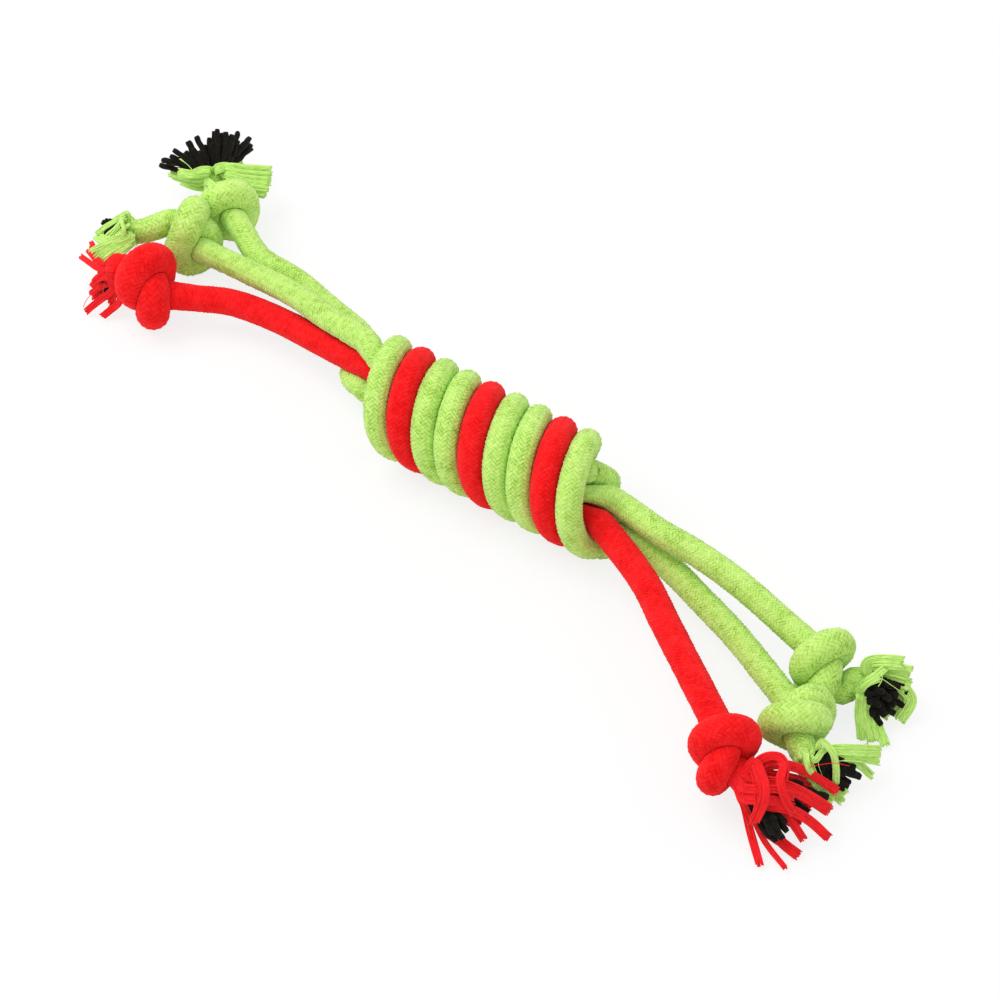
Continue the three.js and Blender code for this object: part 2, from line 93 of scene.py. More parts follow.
# dives and lands: degrees round the winding where a rope leaves its turns and reaches the core,
# at the right mouth and at the left. roll and hand: how the end's knot is turned and mirrored.
ropes = [
    {
        "name": "green_rope_a",
        "across": 0.010,
        "slot": "green_rope",
        "place": 0,
        "dives": (570, -495),
        "lands": (720, -660),
        "left": {
            "tail": [(-0.077, 0.014, 0.029), (-0.094, 0.017, 0.027), (-0.112, 0.022, 0.024),
                     (-0.139, 0.026, 0.019), (-0.159, 0.028, 0.016)],
            "roll": 200, "hand": 1, "ahead": 0.001,
            "stub": [(-0.191, 0.023, 0.019), (-0.198, 0.021, 0.015)],
        },
        "right": {
            "tail": [(0.062, 0.0015, 0.022), (0.077, -0.002, 0.0235), (0.095, -0.003, 0.023),
                     (0.114, -0.0055, 0.0215), (0.1385, -0.0115, 0.0195)],
            "roll": 340, "hand": -1, "ahead": 0.0025,
            "stub": [(0.168, -0.013, 0.011), (0.170, -0.013, 0.011)],
            "bight": [(0.0405, 0.0045, 0.0285), (0.0440, 0.0095, 0.0225),
                      (0.0440, 0.0140, 0.0150), (0.0405, 0.0150, 0.0090)],
        },
    },
    {
        "name": "red_rope",
        "across": 0.011,
        "slot": "red_rope",
        "place": 1,
        "dives": (515, -500),
        "lands": (660, -600),
        "left": {
            "tail": [(-0.081, 0.010, 0.019), (-0.093, 0.011, 0.018), (-0.109, 0.013, 0.016),
                     (-0.125, 0.013, 0.015), (-0.139, 0.011, 0.0145), (-0.152, 0.005, 0.0145)],
            "roll": 190, "hand": -1, "ahead": 0.003,
            "stub": [(-0.186, -0.004, 0.0215)],
        },
        "right": {
            "tail": [(0.064, -0.0125, 0.019), (0.075, -0.018, 0.019), (0.086, -0.025, 0.020),
                     (0.100, -0.036, 0.021), (0.130, -0.059, 0.0235)],
            "roll": 345, "hand": -1, "ahead": 0.0053,
            "stub": [],
            "reach": (0.006, 0.008),
            "knotShare": 0.9,
        },
    },
    {
        "name": "green_rope_b",
        "across": 0.010,
        "slot": "green_rope",
        "place": 2,
        "dives": (515, -480),
        "lands": (600, -540),
        "left": {
            "tail": [(-0.090, 0.029, 0.013), (-0.106, 0.033, 0.013), (-0.124, 0.037, 0.014),
                     (-0.1435, 0.038, 0.0155), (-0.1595, 0.046, 0.0172)],
            "roll": 330, "hand": -1, "ahead": 0.001,
            "stub": [(-0.187, 0.063, 0.012), (-0.1905, 0.067, 0.016)],
            "mouth": [(-0.078, 0.017, 0.010), (-0.0755, 0.0095, 0.011),
                      (-0.071, 0.0055, 0.0125), (-0.066, 0.004, 0.0135)],
        },
        "right": {
            "tail": [(0.074, -0.004, 0.0115), (0.084, -0.006, 0.0115), (0.105, -0.014, 0.012),
                     (0.122, -0.021, 0.0125), (0.146, -0.033, 0.013)],
            "roll": 225, "hand": -1, "ahead": 0.002,
            "stub": [(0.1695, -0.0545, 0.0155)],
        },
    },
]

greenAcross = ropes[0]["across"]
redAcross = ropes[1]["across"]
axisHeight = winding["across"] / 2 - winding["restShare"] * redAcross
acrossAll = 2 * greenAcross + redAcross + 3 * winding["besideGap"]
lean = math.asin(acrossAll / (math.pi * (winding["across"] - greenAcross)))
pitch = acrossAll / math.cos(lean)
neighbourStep = ((greenAcross + redAcross) / 2 + winding["besideGap"]) / math.cos(lean)
coreRing = winding["coreAcross"] + winding["coreGap"]


def smooth(share):
    return share * share * (3 - 2 * share)


def around(angle, radius, x):
    turn = math.radians(angle)
    return Vector((x, -radius * math.sin(turn), axisHeight + radius * math.cos(turn)))


def turnPoint(rope, angle):
    x = pitch * (angle - 180) / 360 + rope["place"] * neighbourStep
    return around(angle, (winding["across"] - rope["across"]) / 2, x)


def bendPoints(start, startWay, stop, stopWay, startReach, stopReach, steps):
    a, b = start, start + startWay * startReach
    c, d = stop - stopWay * stopReach, stop
    found = []
    for i in range(steps + 1):
        t = i / steps
        s = 1 - t
        found.append(a * s ** 3 + b * (3 * s * s * t) + c * (3 * s * t * t) + d * t ** 3)
    return found


def coreRun(start, stop):
    steps = winding["coreSteps"]
    return [start.lerp(stop, i / steps) for i in range(steps + 1)]


def mouthOf(end):
    start = Vector(end["tail"][0])
    return start, (Vector(end["tail"][1]) - start).normalized()


def windingWay(rope):
    half = winding["coreLength"] / 2
    alongX = Vector((1, 0, 0))
    leftStart, leftOut = mouthOf(rope["left"])
    rightStart, rightOut = mouthOf(rope["right"])
    leftWay = [leftStart, leftStart - leftOut * rope["across"]]
    leftWay += [Vector(p) for p in rope["left"].get("mouth", [])]
    leftStop = leftWay[-1]
    leftIn = (leftStop - leftWay[-2]).normalized()
    rightStop = rightStart - rightOut * rope["across"]
    rightDive, leftDive = rope["dives"]
    rightLand, leftLand = rope["lands"]
    inLeft, inRight, backLeft, backRight = (
        around(land, coreRing, x) for land in (rightLand, leftLand) for x in (-half, half))
    count = round(winding["turnSteps"] * (rightDive - leftDive) / 360)
    turns = [turnPoint(rope, rightDive + (leftDive - rightDive) * i / count) for i in range(count + 1)]
    intoTurns = (turnPoint(rope, rightDive - tinyTurn) - turns[0]).normalized()
    outOfTurns = (turns[-1] - turnPoint(rope, leftDive + tinyTurn)).normalized()
    full, tight = rope["across"] / 2, winding["coreAcross"] / 2
    mouth, run, calm = winding["mouthReach"], winding["turnReach"], winding["exitReach"]
    bight, leave = winding["bightSteps"], winding["exitSteps"]
    rightBight = [Vector(p) for p in rope["right"].get("bight", [])]
    if rightBight:
        first = (rightBight[1] - rightBight[0]).normalized()
        last = (rightBight[-1] - rightBight[-2]).normalized()
        near, (before, after) = winding["loopReach"], winding["loopSteps"]
        loop = [
            (bendPoints(inRight, alongX, rightBight[0], first, near, near, before), tight, full, True),
            (rightBight, full, full, False),
            (bendPoints(rightBight[-1], last, turns[0], intoTurns, near, near, after), full, full, True),
        ]
    else:
        out, into = rope["right"].get("reach", (mouth, run))
        loop = [(bendPoints(inRight, alongX, turns[0], intoTurns, out, into, bight), tight, full, True)]
    parts = [
        (leftWay, full, full, False),
        (bendPoints(leftStop, leftIn, inLeft, alongX, calm, calm, leave), full, tight, True),
        (coreRun(inLeft, inRight), tight, tight, False),
        *loop,
        (turns, full, full, False),
        (bendPoints(turns[-1], outOfTurns, backLeft, alongX, run, mouth, bight), full, tight, True),
        (coreRun(backLeft, backRight), tight, tight, False),
        (bendPoints(backRight, alongX, rightStop, rightOut, calm, calm, leave), tight, full, True),
        ([rightStop, rightStart], full, full, False),
    ]
    way = {"points": [], "radii": [], "loose": []}
    for points, first, last, bends in parts:
        steps = len(points) - 1
        for i in range(1 if way["points"] else 0, steps + 1):
            share = i / steps if first < last else 1 - i / steps
            share = min(max((share - winding["swellShare"]) / (1 - winding["swellShare"]), 0), 1)
            way["points"].append(points[i].copy())
            way["radii"].append(min(first, last) + abs(last - first) * smooth(share))
            way["loose"].append(bends and i < steps)
    return way


# How the ropes press each other aside in the winding's two mouths
pressing = {
    "gap": 0.001,
    "rounds": 400,
    "easeShare": 0.15,
    "stepLength": 0.0045,
    "neighbourShare": 1.6,
    "lookAround": 0.016,
}


def settle(ways):
    pairs = []
    for first, a in enumerate(ways):
        for b in ways[first:]:
            for i, point in enumerate(a["points"]):
                for j in range(i + 1 if a is b else 0, len(b["points"])):
                    if not (a["loose"][i] or b["loose"][j]):
                        continue
                    needed = a["radii"][i] + b["radii"][j]
                    apart = (j - i) * pressing["stepLength"]
                    if a is b and apart < pressing["neighbourShare"] * needed:
                        continue
                    other = b["points"][j]
                    if (other - point).length < needed + pressing["lookAround"]:
                        needed += pressing["gap"]
                        pairs.append((point, other, a["loose"][i], b["loose"][j], needed))
    for _ in range(pressing["rounds"]):
        for point, other, looseOne, looseTwo, needed in pairs:
            push = other - point
            distance = push.length
            if distance < needed:
                push *= (needed - distance) / distance / (looseOne + looseTwo)
                if looseOne:
                    point -= push
                if looseTwo:
                    other += push
        for way in ways:
            points = way["points"]
            middles = [(points[i - 1] + points[i + 1]) / 2 if way["loose"][i] else None
                       for i in range(len(points))]
            for point, middle in zip(points, middles):
                if middle is not None:
                    point += (middle - point) * pressing["easeShare"]


# An overhand knot pulled tight, in shares of its rope's diameter
overhand = {
    "ropeShare": 0.92,
    "ringShare": 1.3,
    "swingShare": 0.65,
    "leadShare": 3.0,
    "loose": (40, 320, 8),
    "beadShare": 0.4,
    "pullShare": 0.1,
    "alignShare": 0.98,
    "easeShare": 0.1,
    "crowdShare": 0.3,
    "pushReachShare": 1.6,
    "rounds": 900,
    "passes": 6,
    "keptShare": 1.5,
    "swellBeads": (3, 6),
    # soft rope gives way where the knot is tight, and swells beside it
    "left": {"tightShare": 0.8, "fullerShare": 1.27},
    "right": {"tightShare": 0.86, "fullerShare": 1.13},
}


def lengthsAlong(line, power=1):
    return np.append(0, np.cumsum(np.linalg.norm(np.diff(line, axis=0), axis=1) ** power))


def pointsAt(places, reached, line):
    return np.column_stack([np.interp(places, reached, line[:, k]) for k in range(3)])


def pullTight():
    ring, swing, lead = overhand["ringShare"], overhand["swingShare"], overhand["leadShare"]
    loose = [(ring + swing, -lead, swing), (ring + swing, 0, swing)]
    start, stop, step = overhand["loose"]
    for angle in range(start, stop + 1, step):
        third, turn = math.radians(3 * angle), math.radians(2 * angle)
        radius = ring + swing * math.cos(third)
        loose.append((radius * math.cos(turn), radius * math.sin(turn), swing * math.sin(third)))
    loose += [(ring + swing, 0, -swing), (ring + swing, lead, -swing)]
    loose = np.array(loose)
    reached = lengthsAlong(loose)
    count = int(reached[-1] // overhand["beadShare"])
    length = reached[-1] / count
    beads = pointsAt(np.linspace(0, reached[-1], count + 1), reached, loose)
    apart = math.ceil(overhand["pushReachShare"] * overhand["ropeShare"] / length)
    one, two = np.triu_indices(count + 1, apart)
    for _ in range(overhand["rounds"]):
        beads[0, 1] -= overhand["pullShare"]
        beads[-1, 1] += overhand["pullShare"]
        beads[[0, -1]] *= (overhand["alignShare"], 1, overhand["alignShare"])
        beads[1:-1] += ((beads[:-2] + beads[2:]) / 2 - beads[1:-1]) * overhand["easeShare"]
        for _ in range(overhand["passes"]):
            between = beads[two] - beads[one]
            distance = np.linalg.norm(between, axis=1)
            near = distance < overhand["ropeShare"]
            i, j, distance = one[near], two[near], distance[near, None]
            push = between[near] * (overhand["ropeShare"] - distance) / 2 / distance
            pushes, counts = np.zeros_like(beads), np.ones((count + 1, 1))
            for at, way in ((i, -push), (j, push)):
                np.add.at(pushes, at, way)
                np.add.at(counts, at, overhand["crowdShare"])
            beads += pushes / counts
            for first in (0, 1):
                i = np.arange(first, count, 2)
                step = beads[i + 1] - beads[i]
                size = np.linalg.norm(step, axis=1)[:, None]
                step *= (size - length) / 2 / size
                beads[i] += step
                beads[i + 1] -= step
    return [Vector(bead) for bead in beads if abs(bead[1]) < overhand["keptShare"]]


def knotWay(rope, side):
    end = rope[side]
    entry = Vector(end["tail"][-1])
    direction = (entry - Vector(end["tail"][-2])).normalized()
    size = rope["across"] * overhand[side]["tightShare"] * end.get("knotShare", 1)
    shape = [Vector((bead.x * end["hand"], bead.y, bead.z)) * size for bead in tightKnot]
    inward = (shape[1] - shape[0]).normalized()
    turn = Quaternion(direction, math.radians(end["roll"])) @ inward.rotation_difference(direction)
    start = entry + direction * (rope["across"] / 2 + end["ahead"])
    return [turn @ (point - shape[0]) + start for point in shape] + [Vector(p) for p in end["stub"]]


def knotRadii(rope, side, count):
    full, (first, last) = rope["across"] / 2, overhand["swellBeads"]
    thicker = overhand[side]["fullerShare"] * rope[side].get("knotShare", 1) - 1
    shares = [min(1, (i + 0.5) / first, (count - 1 - i) / last) for i in range(count)]
    return [full * (1 + thicker * share) for share in shares]


lineStep = 0.0001


def blend(t, start, stop, one, two):
    return (stop - t) / (stop - start) * one + (t - start) / (stop - start) * two


# An even curve through the points in short steps, the way along it, and the points' places on it
def curveThrough(points, step=lineStep):
    p = np.array([points[0] * 2 - points[1]] + list(points) + [points[-1] * 2 - points[-2]])
    knots = lengthsAlong(p, 0.5)
    found, marks = [], [0]
    for i in range(1, len(p) - 2):
        t0, t1, t2, t3 = knots[i - 1:i + 3]
        count = max(2, int(np.linalg.norm(p[i + 1] - p[i]) / step))
        t = np.linspace(t1, t2, count, endpoint=False)[:, None]
        a, b = blend(t, t0, t1, p[i - 1], p[i]), blend(t, t1, t2, p[i], p[i + 1])
        c = blend(t, t2, t3, p[i + 1], p[i + 2])
        found.append(blend(t, t1, t2, blend(t, t0, t2, a, b), blend(t, t1, t3, b, c)))
        marks.append(marks[-1] + count)
    found.append(p[-2:-1])
    found = np.vstack(found)
    reached = lengthsAlong(found)
    return found, reached, reached[marks]


def waysAlong(path):
    aheads = np.gradient(path, axis=0)
    return aheads / np.linalg.norm(aheads, axis=1)[:, None]


# Two directions across the path that turn no more than they have to
def framesAlong(aheads, one):
    ones = np.empty_like(aheads)
    for i, ahead in enumerate(aheads):
        one = one - ahead * one.dot(ahead)
        one /= np.linalg.norm(one)
        ones[i] = one
    return ones, np.cross(aheads, ones)


tightKnot = pullTight()
print("overhand knot tied with", len(tightKnot), "beads")
ways = [windingWay(rope) for rope in ropes]
settle(ways)
print("winding settled")

# The braid: carriers lean each way round the rope, two over and two under.
# A stitch's row is a quarter of the length that a carrier takes to move on by one place.
braid = {
    "green_rope": {"carriers": 16, "advance": 0.0014, "relief": 0.00042, "unevenShare": 1.0},
    "red_rope": {"carriers": 16, "advance": 0.0015, "relief": 0.0003, "unevenShare": 0.8},
}


# Soft rope makes no sharp bend where it comes out of the winding
easing = {"reach": 0.024, "blur": 0.005, "hold": 1.5}


def easeNear(line, reached, place):
    hold, blur = easing["hold"], easing["blur"]
    wide = int(3 * blur / lineStep)
    weights = np.exp(-((np.arange(-wide, wide + 1) * lineStep / blur) ** 2) / 2)
    weights /= weights.sum()
    padded = np.vstack([line[:1].repeat(wide, axis=0), line, line[-1:].repeat(wide, axis=0)])
    soft = np.column_stack([np.convolve(padded[:, k], weights, "valid") for k in range(3)])
    near = np.clip(hold - hold * np.abs(reached - place) / easing["reach"], 0, 1)[:, None]
    return line + (soft - line) * smooth(near)


def ropeRows(rope, way):
    left, right = knotWay(rope, "left"), knotWay(rope, "right")
    leftTail = [Vector(p) for p in rope["left"]["tail"]]
    rightTail = [Vector(p) for p in rope["right"]["tail"]]
    full = rope["across"] / 2
    inner = way["points"][1:-1]
    points = left[::-1] + leftTail[::-1] + inner + rightTail + right
    radii = knotRadii(rope, "left", len(left))[::-1] + [full] * len(leftTail) + way["radii"][1:-1]
    radii += [full] * len(rightTail) + knotRadii(rope, "right", len(right))
    line, reached, marks = curveThrough(points)
    for mark in (len(left) + len(leftTail), len(points) - len(right) - len(rightTail) - 1):
        line = easeNear(line, reached, marks[mark])
    breaks = [0, len(left), len(left) + len(leftTail) - 1]
    breaks += [breaks[-1] + len(inner) + 1, breaks[-1] + len(inner) + len(rightTail), len(points) - 1]
    names = ["left_knot", "left_tail", "winding", "right_tail", "right_knot"]
    advance = braid[rope["slot"]]["advance"]
    places, spans = [0.0], {}
    for name, first, last in zip(names, breaks, breaks[1:]):
        count = max(4, round((marks[last] - marks[first]) / (advance / 4)))
        row = len(places) - 1
        places += list(np.linspace(marks[first], marks[last], count + 1)[1:])
        spans[name] = (row, row + count)
    places = np.array(places)
    middles = pointsAt(places, reached, line)
    aheads = waysAlong(middles)
    sides, others = framesAlong(aheads, np.cross((0, 0, 1), aheads[0]))
    return {"places": places, "middles": middles, "aheads": aheads, "sides": sides,
            "others": others, "radii": np.interp(places, marks, radii), "spans": spans}


rows = [ropeRows(rope, way) for rope, way in zip(ropes, ways)]
print("rows:", [len(r["places"]) for r in rows])


sleeve = {
    "seed": 11,
    "stitchEdge": 0.45,  # a stitch's height at its edges, as a share of its middle's
    "heightMiddle": 0.35,
    "slowStep": 0.004,
    "slowCount": 500,
    "slowShare": 0.02,
    "pressedShare": 0.3,
    "pressedGap": 0.00005,
    "floor": 0.0003,
}

# Where ropes press on each other, each keeps to its own side of the plane between them
squeeze = {
    "every": 3,
    "lookAround": 0.0135,
    "roomy": 1.0,
    "ownNear": 0.002,
    "ownEven": 0.012,
    "sideways": 1e-5,
}


def stitchHeight(a, b):
    best, edge = np.full(a.shape, -1.0), sleeve["stitchEdge"]
    for near in (0, 1):
        for one, two, behind in ((a, b, 1), (b, a, 3)):
            start = np.floor(one) - near * (one == np.floor(one))
            dome = 1 - (2 * (one - start) - 1) ** 2
            over = np.cos(math.pi / 2 * (two + start - behind))
            best = np.maximum(best, over * (edge + (1 - edge) * dome))
    return best


def roomAround(me, directions):
    mine, roomy, sideways = rows[me], squeeze["roomy"], squeeze["sideways"]
    room = np.full(directions.shape[:2], roomy)
    few = slice(None, None, squeeze["every"])
    for other, theirs in enumerate(rows):
        middles, radii, places = (theirs[key][few] for key in ("middles", "radii", "places"))
        for row in range(len(mine["places"])):
            away = middles - mine["middles"][row]
            squares = (away ** 2).sum(axis=1)
            near = squares < squeeze["lookAround"] ** 2
            differ = mine["radii"][row] ** 2 - radii ** 2
            if other == me:
                apart = np.abs(places - mine["places"][row])
                near &= apart > squeeze["ownNear"]
                differ = np.where(apart < squeeze["ownEven"], 0, differ)
            if not near.any():
                continue
            facing = directions[row] @ away[near].T
            reach = (squares[near] + differ[near]) / 2
            limit = np.where(facing > sideways, reach / np.maximum(facing, sideways), roomy)
            room[row] = np.minimum(room[row], limit.min(axis=1))
    return room


def sleeveSurface(me):
    mine, rope = rows[me], ropes[me]
    spec = braid[rope["slot"]]
    columns = 2 * spec["carriers"]
    count = len(mine["places"])
    row = np.arange(count)[:, None]
    column = 2 * np.arange(columns)[None, :] + row % 2
    turn = 2 * math.pi * column / (2 * columns)
    directions = (mine["sides"][:, None] * np.cos(turn)[..., None]
                  + mine["others"][:, None] * np.sin(turn)[..., None])
    room = roomAround(me, directions)
    draw = np.random.default_rng(sleeve["seed"] + me)
    uneven = 1 + spec["unevenShare"] * (draw.random((count, columns)) - 0.5)
    height = stitchHeight((column + row) / 4.0, (column - row) / 4.0) * uneven
    slowPlaces = np.arange(sleeve["slowCount"]) * sleeve["slowStep"]
    slow = 1 + sleeve["slowShare"] * (draw.random(sleeve["slowCount"]) - 0.5)
    radius = mine["radii"] * np.interp(mine["places"], slowPlaces, slow)
    surface = radius[:, None] + spec["relief"] * (height - sleeve["heightMiddle"])
    pressed = room - sleeve["pressedGap"] - spec["relief"] * sleeve["pressedShare"] * (1 - height)
    surface = np.minimum(surface, pressed)
    points = mine["middles"][:, None] + directions * surface[..., None]
    points[..., 2] = np.maximum(points[..., 2], sleeve["floor"])
    return points


def linkMesh(name, points, faces, uvs=None, sharpRims=()):
    mesh = bpy.data.meshes.new(name)
    mesh.from_pydata(points.tolist(), [], faces)
    mesh.polygons.foreach_set("use_smooth", [True] * len(mesh.polygons))
    if uvs is not None:
        layer = mesh.uv_layers.new(name="lay")
        layer.data.foreach_set("uv", np.asarray(uvs, dtype=np.float32).ravel())
    if len(sharpRims):
        rim = set(sharpRims)
        for edge in mesh.edges:
            if edge.vertices[0] in rim and edge.vertices[1] in rim:
                edge.use_edge_sharp = True
    mesh.update()
    piece = bpy.data.objects.new(name, mesh)
    bpy.context.scene.collection.objects.link(piece)
    return piece


def sleevePiece(name, surface, first, last, carriers):
    columns = 2 * carriers
    part = surface[first:last + 1].reshape(-1, 3)
    faces, uvs, rims = [], [], []

    def corner(row, column):
        return (row - first) * columns + (column % (2 * columns) - row % 2) // 2

    def addFace(ring):
        faces.append([corner(*place) for place in ring])
        uvs.extend(((column + row) / 4, (column - row) / 4) for row, column in ring)

    for row in range(first, last - 1):
        for column in range(row % 2, 2 * columns, 2):
            addFace([(row, column), (row + 1, column + 1), (row + 2, column), (row + 1, column - 1)])
    for row, inner, turn in ((first, first + 1, 1), (last, last - 1, -1)):
        rim = [(row, column) for column in range(row % 2, 2 * columns, 2)]
        for _, column in rim:
            addFace([(row, column), (row, column + 2), (inner, column + 1)][::turn])
        addFace(rim[::-turn])
        rims += [corner(*place) for place in rim]
    return linkMesh(name, part, faces, uvs, rims)


def linear(code):
    parts = [int(code[i:i + 2], 16) / 255 for i in (0, 2, 4)]
    return [p / 12.92 if p <= 0.04045 else ((p + 0.055) / 1.055) ** 2.4 for p in parts] + [1.0]


# A word for the settings is a math node's operation, and a tuple gives the inputs in their order
def addNode(tree, kind, settings=None, inputs=None):
    node = tree.nodes.new("ShaderNode" + kind)
    if isinstance(settings, str):
        settings = {"operation": settings}
    if isinstance(inputs, tuple):
        inputs = dict(enumerate(inputs))
    for key, value in (settings or {}).items():
        setattr(node, key, value)
    for key, value in (inputs or {}).items():
        if isinstance(value, bpy.types.Node):
            value = value.outputs[0]
        if isinstance(value, bpy.types.NodeSocket):
            tree.links.new(value, node.inputs[key])
        else:
            node.inputs[key].default_value = value
    return node


def newMaterial(name):
    material = bpy.data.materials.new(name)
    material.use_nodes = True
    tree = material.node_tree
    tree.nodes.clear()
    return material, tree


def finishYarn(tree, tone, height, look):
    ramp = addNode(tree, "ValToRGB", None, (tone,))
    elements = ramp.color_ramp.elements
    while len(elements) < len(look["stops"]):
        elements.new(0.5)
    for element, (shade, place) in zip(elements, look["stops"].items()):
        element.position = place
        element.color = linear(look[shade])
    bump = addNode(tree, "Bump", None, {
        "Strength": look["bumpStrength"], "Distance": look["bump"], "Height": height})
    shader = addNode(tree, "BsdfPrincipled", None, {
        "Base Color": ramp, "Roughness": look["rough"], "Normal": bump,
        "Specular IOR Level": look["shine"], "Sheen Weight": look["fuzz"], "Sheen Roughness": 0.5,
    })
    addNode(tree, "OutputMaterial", None, (shader,))


# Braided spun yarn, dyed: matt and slightly fuzzy, with small slanting stitches, each a flat group of
# thin yarns; painted shade darkens their edges and small pits here and there where carriers cross
sleeveYarn = {
    "green_rope": {
        "name": "greenBraidedYarn", "lit": "d4f68e", "mean": "b6e266", "deep": "749c2c",
        "fuzz": 0.2, "pitShade": 0.38, "flecks": 0.32,
    },
    "red_rope": {
        "name": "redBraidedYarn", "lit": "fd2c2e", "mean": "ef1014", "deep": "b20307",
        "fuzz": 0.05, "pitShade": 0.12, "flecks": 0.26,
    },
}
braidLook = {
    "yarnsInCarrier": 3,
    "bump": 0.00022,
    "bumpStrength": 0.8,
    "rough": 0.95,
    "shine": 0.1,
    "sway": (0.5, 0.5, 0.0),  # how far a stitch's edges wander, in stitches
    "gapRange": (0.44, 0.64),
    # millimetres from one spot to the next, detail and roughness
    "patterns": {"wobble": (1.1111, 1.0, 0.5), "fibres": (0.45455, 3.0, 0.6),
                 "patches": (8.3333, 2.0, 0.5), "gaps": (1.25, 1.0, 0.5)},
    # ramp colours deep, mean and lit; the dome and lines tones paint stitch middles lighter as painted
    # highlight, and stitch edges and the grooves between yarns darker as painted shade
    "stops": {"deep": 0.05, "mean": 0.42, "lit": 0.95},
    "toneStart": -0.2,
    "tones": {"fibres": 0.6, "lines": 0.05, "dome": 0.22, "patches": 0.6},
    "heights": {"fibres": 0.5, "dome": 0.6, "lines": 0.12},
}


def braidMaterial(spec):
    material, tree = newMaterial(spec["name"])
    place = addNode(tree, "TexCoord").outputs["Object"]
    made = {}
    for key, (gap, detail, roughness) in braidLook["patterns"].items():
        made[key] = addNode(tree, "TexNoise", None, {
            "Vector": place, "Scale": 1000 / gap, "Detail": detail, "Roughness": roughness})
    lay = addNode(tree, "UVMap", {"uv_map": "lay"})
    wobbly = addNode(tree, "VectorMath", "MULTIPLY_ADD",
                     (made["wobble"].outputs["Color"], braidLook["sway"], lay))
    parts = addNode(tree, "SeparateXYZ", None, (wobbly,))
    floors = tuple(addNode(tree, "Math", "FLOOR", (side,)) for side in parts.outputs[:2])
    shares = [addNode(tree, "Math", "FRACT", (side,)) for side in parts.outputs[:2]]
    # two over and two under: the stitch's row and column say which carrier is on top
    cells = addNode(tree, "Math", "ADD", floors)
    inFour = addNode(tree, "Math", "FLOORED_MODULO", (cells, 4.0))
    top = addNode(tree, "Math", "LESS_THAN", (inFour, 1.5))
    across = addNode(tree, "Mix", {"data_type": "FLOAT"}, {0: top, 2: shares[1], 3: shares[0]})
    waves = addNode(tree, "Math", "MULTIPLY", (across, 2 * math.pi * braidLook["yarnsInCarrier"]))
    made["lines"] = addNode(tree, "Math", "SINE", (waves,))
    beyond = addNode(tree, "Math", "SUBTRACT", (1.0, across))
    arch = addNode(tree, "Math", "MULTIPLY", (across, beyond))
    made["dome"] = addNode(tree, "Math", "MULTIPLY", (arch, 4.0))
    cell = addNode(tree, "CombineXYZ", None, floors)
    made["flecks"] = addNode(tree, "TexWhiteNoise", {"noise_dimensions": "2D"}, {"Vector": cell})
    # painted shade: dark pits here and there where carriers cross, strongest at the stitches' edges
    chance = addNode(tree, "MapRange", None, (made["gaps"], *braidLook["gapRange"]))
    edge = addNode(tree, "Math", "SUBTRACT", (1.0, made["dome"]))
    edge = addNode(tree, "Math", "POWER", (edge, 2.0))
    made["pitShade"] = addNode(tree, "Math", "MULTIPLY", (chance, edge))
    # the tone adds painted highlight and shade from the stitch relief to the yarn's own random tone of
    # fibres, patches and flecks
    tone, height = braidLook["toneStart"] - spec["flecks"] / 2, 0.0
    tones = {**braidLook["tones"], "flecks": spec["flecks"], "pitShade": -spec["pitShade"]}
    for key, share in tones.items():
        tone = addNode(tree, "Math", "MULTIPLY_ADD", (made[key], share, tone))
    for key, share in braidLook["heights"].items():
        height = addNode(tree, "Math", "MULTIPLY_ADD", (made[key], share, height))
    finishYarn(tree, tone, height, {**braidLook, **spec})
    return material


sleeveMaterials = {slot: braidMaterial(spec) for slot, spec in sleeveYarn.items()}


def dress(piece, material, slotName, *nodes):
    piece.data.materials.append(material)
    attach(piece, "root")
    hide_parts(*nodes)


def braidRope(me):
    rope, mine = ropes[me], rows[me]
    surface = sleeveSurface(me)
    carriers = braid[rope["slot"]]["carriers"]
    for part, (first, last) in mine["spans"].items():
        name = f"{rope['name']}_{part}"
        piece = sleevePiece(f"{name}_sleeve", surface, first, last, carriers)
        dress(piece, sleeveMaterials[rope["slot"]], rope["slot"], name)
        if part.endswith("tail"):
            path = mine["middles"][first:last + 1]
            if part == "left_tail":
                path = path[::-1]


for me in range(len(ropes)):
    braidRope(me)
    print("braided", ropes[me]["name"])
